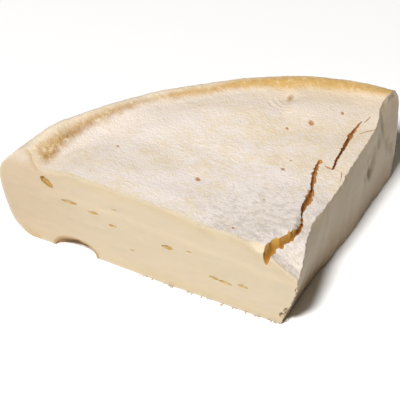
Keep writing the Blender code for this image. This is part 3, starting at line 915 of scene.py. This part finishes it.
def makeRind():
    material, bench, shader, place = newMaterial("rind")
    f = rindFinish
    c = clothPrint
    rows, patches = printTerms(bench, place, c["rowPitch"], c["threadPitch"], c["seed"])
    broad = bench.speckle(place, 14 * mm, 2, 0.5, 1.0) - 0.5
    middle = bench.speckle(place, 3.6 * mm, 4, 0.62, 5.0) - 0.5
    small = bench.speckle(place, 1.1 * mm, 3, 0.6, 9.0) - 0.5
    fine = bench.speckle(place, 0.45 * mm, 2, 0.6, 13.0) - 0.5
    x, y, z = bench.parts(place)
    flat, radius = fromAxis(bench, place)
    rimShare = attribute(bench, "rimShare")
    # The plate: bloom, thinner over cream and ochre in places, painted shade at the right, at the back and on
    # the rim's slope, and grey at the point
    leftBack = bench.ease(-10 * mm, 75 * mm, y - x)
    atRight = bench.ease(0 * mm, 32 * mm, x)
    creamy = broad * 2.3 + middle * 1.7 + small * 1.4 + fine * 1.3 + rows * patches * 0.07
    creamy = creamy + leftBack * 0.11 + atRight * 0.24 - 0.16
    colour = bench.blend(bench.ease(-0.3, 0.5, creamy), f["bloom"], f["cream"])
    colour = bench.blend(bench.ease(0.35, 1.1, creamy), colour, f["ochre"])
    # Painted shade: the plate is darker towards the right, towards the back and on the rim's inner slope at
    # the left
    onSlope = bench.ease(-2.2, -0.4, rimShare) * bench.ease(-30 * mm, -8 * mm, x)
    atBack = bench.ease(28 * mm, 54 * mm, radius)
    colour = bench.blend(bench.clamp(atRight * 0.3 + onSlope * 0.3 + atBack * 0.28), colour, f["plateShade"])
    atPoint = bench.ease(34 * mm, 8 * mm, bench.distance(place, (2 * mm, 6 * mm, 16 * mm)))
    smoky = bench.ease(0.5, 0.75, bench.speckle(place, 1.5 * mm, 4, 0.7, 21.0) + atPoint * 0.08)
    colour = bench.blend(bench.clamp(smoky * (atPoint * 0.6 + 0.3) + atPoint * 0.45), colour, f["grey"])
    # The rim: gold at the right, browner towards the left with painted shade in its valley, pale outside
    uneven = middle * 0.35 + small * 0.22
    rim = rimShare + uneven
    atLeft = bench.ease(12 * mm, -32 * mm, x)
    clumps = bench.speckle(place, 1.15 * mm, 4, 0.68, 33.0)
    rimColour = bench.blend(bench.clamp(atLeft * 0.8 + middle * 1.2), f["rimGold"], f["rimOchre"])
    # The brown clumps are the rind's own; the brown along the band's inner foot, most at the left, is painted
    # shade in the valley
    low = bench.ease(0.55, 0.0, rim) * (atLeft * 0.6 + 0.1)
    brown = bench.clamp(low + (0.47 - clumps) * (atLeft * 3.0 + 1.6))
    rimColour = bench.blend(brown, rimColour, f["rimBrownAndShade"])
    rimColour = bench.blend(bench.ease(0.53, 0.66, clumps) * (atLeft * 0.35 + 0.35), rimColour, f["rimPale"])
    outer = attribute(bench, "rimOuter") + uneven * 2.0 * mm + atLeft * 0.8 * mm
    rimColour = bench.blend(bench.ease(-2.7 * mm, 0.0, outer) * 0.92, rimColour, f["rimPale"])
    stains = bench.ease(0.5, 0.68, bench.speckle(place, 6 * mm, 4, 0.6, 41.0))
    stains = stains * bench.ease(0.5 * mm, 2 * mm, outer)
    rimColour = bench.blend(stains * 0.35, rimColour, f["rimOchre"])
    # Peach on the rim's slope at the right: partly the rind's creamy-pink tone, partly painted shade that
    # darkens the slope
    peachShade = bench.ease(-1.5, -0.1, rim) * bench.ease(8 * mm, 24 * mm, x) * (patches * 0.4 + 0.5)
    colour = bench.blend(peachShade, colour, f["peachAndShade"])
    along = bench.dot(place, tuple(alongLong))
    uncut = cuts["longLean"] - bench.dot(place, tuple(outOfLong)) + along * cuts["longLeanSlope"]
    inward = uncut + middle * 1.7 * mm + small * 1.1 * mm
    rimColour = bench.blend(bench.ease(4.2 * mm, 1.2 * mm, inward) * 0.75, rimColour, f["rimPale"])
    colour = bench.blend(bench.ease(-0.3, 0.24, rim), colour, rimColour)
    # Ochre-brown in the fold's pinch, darkened further as painted shade in its hollow
    atFold = bench.distance(flat, (*slump["foldFoot"], 0)) + middle * 3 * mm
    colour = bench.blend(bench.ease(1.3 * mm, 0.1 * mm, atFold) * 0.8, colour, f["fold"])
    # Where a knife has passed, a band of bare cream shows above the cut
    wider = bench.ease(10 * mm, 6 * mm, along) * bench.ease(2 * mm, 4.5 * mm, along)
    band = wider * (f["pointBand"] - f["edgeBand"]) + f["edgeBand"]
    edge = bench.blend(bench.ease(14 * mm, 8 * mm, along), f["cutEdge"], f["torn"])
    colour = bench.blend(bench.ease(1.25, 0.7, inward / band), colour, edge)
    squeezed = bench.vector("MULTIPLY", place, (1, spotSqueeze, 0))
    for px, py, size in pits:
        gap = bench.distance(squeezed, (px * mm, py * mm * spotSqueeze, 0)) + small * 0.5 * mm
        colour = bench.blend(bench.ease(size * 1.45 * mm, size * 0.6 * mm, gap) * 0.9, colour, f["spot"])
    relief = bump(bench, small * 0.4 + middle * 0.25 + fine * 0.8, *f["bumps"])
    wire(bench, shader, Base_Color=colour, Roughness=f["roughness"], Normal=relief)
    soaked(bench, shader, f)
    return material


# The paste: ivory, deeper under the crust and near the rim
pasteFinish = dict(
    heart=tone(181, 166, 142),
    under=tone(179, 162, 133),
    rimSide=tone(178, 159, 134),
    skin=tone(184, 173, 155),
    bloom=tone(188, 175, 158),
    fold=tone(166, 136, 92),
    # tone of the painted shade on the short cut
    shortCutShade=tone(150, 124, 90),
    vaultShade=tone(154, 122, 82),
    roughness=0.52,
    bumps=(0.35, 0.15 * mm),
    specular=0.35,
    soak=0.25,
    soakDepth=2 * mm,
    soakTint=(1.0, 0.7, 0.35),
)


def makePaste():
    material, bench, shader, place = newMaterial("paste")
    f = pasteFinish
    depth = attribute(bench, "crustDistance")
    rim = attribute(bench, "rimShare")
    x, y, z = bench.parts(place)
    broad = bench.speckle(place, 14 * mm, 3, 0.5, 2.0) - 0.5
    fine = bench.speckle(place, 1.6 * mm, 3, 0.6, 6.0) - 0.5
    squeezed = bench.vector("MULTIPLY", place, (0.35, 0.35, 1.6))
    streaks = bench.speckle(squeezed, 1.5 * mm, 3, 0.55, 11.0) - 0.5
    colour = bench.blend(bench.ease(0.2 * mm, 3.2 * mm, depth + broad * 2.5 * mm), f["under"], f["heart"])
    colour = bench.blend(bench.ease(-3.5, 1.0, rim + broad * 3) * 0.85, colour, f["rimSide"])
    colour = bench.blend(bench.ease(0.8 * mm, 0.25 * mm, depth + fine * 0.5 * mm) * 0.55, colour, f["skin"])
    # The rim's end at the long cut: bloom has smeared over it, and the fold beside it is tinted
    atLeft = bench.ease(-10 * mm, -25 * mm, x)
    bloomed = bench.ease(16.2 * mm, 18.2 * mm, z + broad * 3 * mm + fine * 2 * mm)
    bloomed = bloomed * bench.ease(-0.3, 0.5, rim) * atLeft
    colour = bench.blend(bloomed * 0.9, colour, f["bloom"])
    tinted = bench.ease(1.6 * mm, 0.2 * mm, depth + fine * 1.2 * mm)
    tinted = tinted * bench.ease(0.0, 0.35, rim) * bench.ease(1.5, 0.9, rim) * atLeft
    colour = bench.blend(tinted * 0.6, colour, f["fold"])
    # Painted shade on the short cut: darker at its foot, beside the floor's shadow, and towards the point
    normal = bench.node("ShaderNodeNewGeometry").other("Normal")
    onShort = bench.ease(0.25, 0.7, bench.dot(normal, (math.sin(shortAngle), -math.cos(shortAngle), 0)))
    low = bench.ease(9 * mm, 0.5 * mm, z + broad * 4 * mm)
    shortCutShade = onShort * (low * 0.55 + bench.ease(40 * mm, 24 * mm, y) * 0.27)
    colour = bench.blend(bench.clamp(shortCutShade), colour, f["shortCutShade"])
    # Painted shade in the vault under the long cut's foot: dark brown where its shade falls
    far = (bench.dot(place, tuple(alongLong)) - hollow["along"]) / hollow["size"].x
    deep = bench.dot(place, tuple(outOfLong)) / hollow["size"].y
    tall = z / hollow["size"].z
    inVault = bench.ease(1.4, 1.12, far * far + deep * deep + tall * tall)
    colour = bench.scaled(bench.blend(inVault * 0.85, colour, f["vaultShade"]), streaks * 0.10 + fine * 0.06 + 1.0)
    relief = bump(bench, fine * 0.5 + streaks * 0.8, *f["bumps"])
    wire(bench, shader, Base_Color=colour, Roughness=fine * 0.25 + f["roughness"], Normal=relief)
    soaked(bench, shader, f)
    return material


# Inside the cracks: ochre gone brown, golden near the point
crackFinish = dict(
    gold=tone(188, 141, 62),
    brown=tone(176, 127, 74),
    straw=tone(196, 172, 112),
    roughness=0.6,
    bumps=(0.5, 0.2 * mm),
    specular=0.5,
    soak=0.15,
    soakDepth=1.5 * mm,
    soakTint=(1.0, 0.6, 0.25),
)


def makeInside():
    material, bench, shader, place = newMaterial("crust inside")
    f = crackFinish
    flat, radius = fromAxis(bench, place)
    x, y, z = bench.parts(place)
    grain = bench.speckle(place, 1.1 * mm, 3, 0.6, 3.0) - 0.5
    golden = bench.ease(16 * mm, 7 * mm, radius + grain * 5 * mm) + bench.ease(-4 * mm, -12 * mm, x)
    colour = bench.blend(bench.clamp(golden), f["brown"], f["gold"])
    atEnd = bench.ease(5.6 * mm, 3.2 * mm, radius + grain * 1.5 * mm)
    colour = bench.blend(atEnd * 0.85, colour, f["straw"])
    relief = bump(bench, grain, *f["bumps"])
    wire(bench, shader, Base_Color=colour, Roughness=f["roughness"], Normal=relief)
    soaked(bench, shader, f)
    return material


# Walls of the eyes: smooth, moist and a little deeper, and golden in the one nearest the rim
eyeFinish = dict(
    deep=tone(166, 134, 80),
    rim=tone(180, 158, 116),
    gold=tone(156, 122, 58),
    goldFrom=(54 * mm, 56 * mm),
    roughness=0.55,
    specular=0.25,
    soak=0.25,
    soakDepth=1.5 * mm,
    soakTint=(1.0, 0.65, 0.3),
)


def makeEyeWall():
    material, bench, shader, place = newMaterial("eye wall")
    f = eyeFinish
    grain = bench.speckle(place, 1.2 * mm, 2, 0.5, 8.0)
    colour = bench.blend(bench.ease(0.35, 0.65, grain), f["deep"], f["rim"])
    golden = bench.ease(*f["goldFrom"], bench.dot(place, tuple(alongLong)))
    colour = bench.blend(golden * 0.8, colour, f["gold"])
    wire(bench, shader, Base_Color=colour, Roughness=(grain - 0.5) * 0.2 + f["roughness"])
    soaked(bench, shader, f)
    return material


# The studio: a pale floor, one soft light from the front left, and a faint warm surround
studio = dict(
    floorSide=6.0,
    floorTone=0.95,
    lightFrom=Vector((-0.607, -0.731, 1.0)),
    lightSize=0.34,
    lightDistance=1.5,
    brightness=1.48,  # what the light gives a white surface that faces it
    surround=0.10,
    surroundTone=(1.0, 0.88, 0.72, 1),
)
view = dict(
    turn=-17.0,
    rise=30.2,
    distance=840 * mm,
    aim=Vector((-5.0, 41.1, 7.0)) * mm,  # from the wheel's axis
    lens=4078 / 400 * 36,
    sensor=36,
    clipEnd=20,
)


def placed(name, data, location, facing):  # a camera or a light, looking against the direction given
    made = bpy.data.objects.new(name, data)
    scene.collection.objects.link(made)
    made.location = location
    made.rotation_euler = facing.to_track_quat("Z", "Y").to_euler()
    return made


def setStage():
    s = studio
    turn, rise = math.radians(view["turn"]), math.radians(view["rise"])
    back = Vector((math.sin(turn) * math.cos(rise), -math.cos(turn) * math.cos(rise), math.sin(rise)))
    lens = bpy.data.cameras.new("camera")
    lens.lens = view["lens"]
    lens.sensor_width = view["sensor"]
    lens.clip_end = view["clipEnd"]
    scene.camera = placed("camera", lens, wheel["axis"] + view["aim"] + back * view["distance"], back)
    lamp = bpy.data.lights.new("light", "AREA")
    lamp.shape = "DISK"
    lamp.size = s["lightSize"]
    lamp.energy = s["brightness"] * (math.pi * s["lightDistance"]) ** 2
    placed("light", lamp, s["lightFrom"].normalized() * s["lightDistance"], s["lightFrom"])
    world = bpy.data.worlds.new("surround")
    world.use_nodes = True
    world.node_tree.nodes["Background"].inputs["Color"].default_value = s["surroundTone"]
    world.node_tree.nodes["Background"].inputs["Strength"].default_value = s["surround"]
    scene.world = world
    half = s["floorSide"] / 2
    mesh = bpy.data.meshes.new("floor")
    corners = [(-half, -half, 0), (half, -half, 0), (half, half, 0), (-half, half, 0)]
    mesh.from_pydata(corners, [], [(0, 1, 2, 3)])
    material = bpy.data.materials.new("floor")
    material.use_nodes = True
    shader = material.node_tree.nodes["Principled BSDF"]
    shader.inputs["Base Color"].default_value = (s["floorTone"],) * 3 + (1,)
    shader.inputs["Roughness"].default_value = 1.0
    shader.inputs["Specular IOR Level"].default_value = 0.0
    floor = pieceFrom("floor", mesh, material)
    scene.view_settings.view_transform = "Standard"


setStage()
print("stage set")
rind, paste, inside, eyeWall = makeRind(), makePaste(), makeInside(), makeEyeWall()
cheese, crust = cutCheese(rind, paste, inside, eyeWall)
finishCheese(cheese, crust)
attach(cheese, "root")
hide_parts("reblochon_wedge")
loose = scatterCrumbs(paste)
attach(loose, "root")
